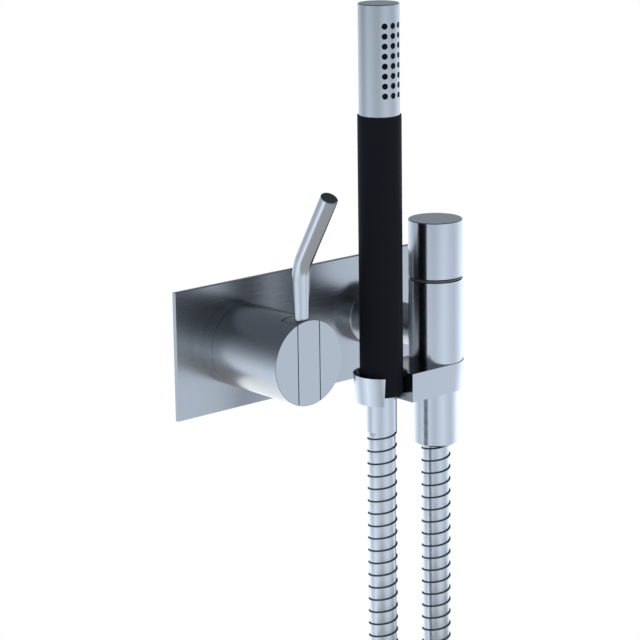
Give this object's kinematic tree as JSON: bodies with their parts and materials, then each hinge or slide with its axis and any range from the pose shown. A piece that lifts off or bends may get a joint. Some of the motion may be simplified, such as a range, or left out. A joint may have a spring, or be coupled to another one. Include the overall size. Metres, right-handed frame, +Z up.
{
  "type": "concealed shower mixer with hand shower",
  "caption": "Wall-mounted single-lever shower mixer in brushed steel with a cover plate, an upright outlet with a knob, a holder, a slim stick hand shower and its metal hose.",
  "frame": {"origin": "on the wall, at the gasket's back face, midway between the mixer's axis and the outlet's", "axes": "+Z up, +Y into the wall, +X along the wall towards the outlet"},
  "size_m": [0.1832, 0.1108, 0.5628],
  "materials": {
    "brushed_steel": "brushed",
    "brass": "cast and turned",
    "rubber": "matte",
    "white_plastic": "moulded",
    "ceramic": "polished",
    "dark_ring": "satin",
    "spring_steel": "polished",
    "black_rubber": "matte",
    "black_grip": "satin",
    "hose_metal": "satin",
    "tie_band": "matte"
  },
  "bodies": {
    "wall_unit": {"wall_plate": "brushed_steel", "plate_gasket": "rubber", "valve_body": "brass", "cartridge_base": "brass", "cartridge_housing": "white_plastic", "port_seals": "rubber", "fixed_disc": "ceramic", "cartridge_nut": "brass", "mixer_collar": "brushed_steel", "outlet_arm": "brushed_steel", "outlet_collar": "brushed_steel", "outlet_body": "brushed_steel", "groove_ring": "dark_ring", "headwork_body": "brass", "spindle_seal": "rubber", "headwork_seal": "rubber", "headwork_fixed_disc": "ceramic", "check_valve_housing": "white_plastic", "check_spring": "spring_steel", "holder_bracket": "brushed_steel", "holder_lock_nut": "brushed_steel", "hose_nut": "brushed_steel", "hose_washer": "rubber", "hose_insert": "brass", "spray_head": "brushed_steel", "nozzle_insert": "black_rubber", "grip": "black_grip", "head_adapter": "white_plastic", "waterway_tube": "white_plastic", "grip_adapter": "brass", "handset_ferrule": "brushed_steel", "hose_coil": "hose_metal", "hose_tie": "tie_band", "hose_tube_valve_side": "hose_metal", "hose_tube_handset_side": "hose_metal"},
    "handle": {"handle_body": "brushed_steel", "turret": "white_plastic", "turret_seal": "rubber", "pivot_pin": "spring_steel", "handle_grub_screw": "spring_steel"},
    "lever": {"rocker": "brushed_steel", "lever_rod": "brushed_steel"},
    "mixing_disc": {"moving_disc": "ceramic", "disc_carrier": "white_plastic"},
    "shut_off_knob": {"knob": "brushed_steel", "knob_grub_screw": "spring_steel", "headwork_spindle": "brass", "headwork_moving_disc": "ceramic"},
    "check_valve_poppet": {"check_poppet": "white_plastic"}
  },
  "joints": [
    {"name": "handle_turn", "type": "hinge", "parent": "wall_unit", "child": "handle", "pos_m": [-0.042, -0.03, 0], "axis": [0, 1, 0], "range_deg": [-30, 30]},
    {"name": "lever_tilt", "type": "hinge", "parent": "handle", "child": "lever", "pos_m": [-0.042, -0.0524, 0], "axis": [1, 0, 0], "range_deg": [0, 20]},
    {"name": "disc_slide", "type": "slide", "parent": "handle", "child": "mixing_disc", "axis": [0, 0, 1], "range_m": [0, 0.00561]},
    {"name": "knob_turn", "type": "hinge", "parent": "wall_unit", "child": "shut_off_knob", "pos_m": [0.042, -0.0553, 0.0423], "axis": [0, 0, 1], "range_deg": [0, 90]},
    {"name": "check_lift", "type": "slide", "parent": "wall_unit", "child": "check_valve_poppet", "axis": [0, 0, -1], "range_m": [0, 0.003], "stiffness_N_per_m": 100, "springref_m": -0.002, "deforming": ["check_spring"]}
  ],
  "couplings": [
    {"joint": "disc_slide", "follows": "lever_tilt", "m_per_rad": 0.016069}
  ]
}
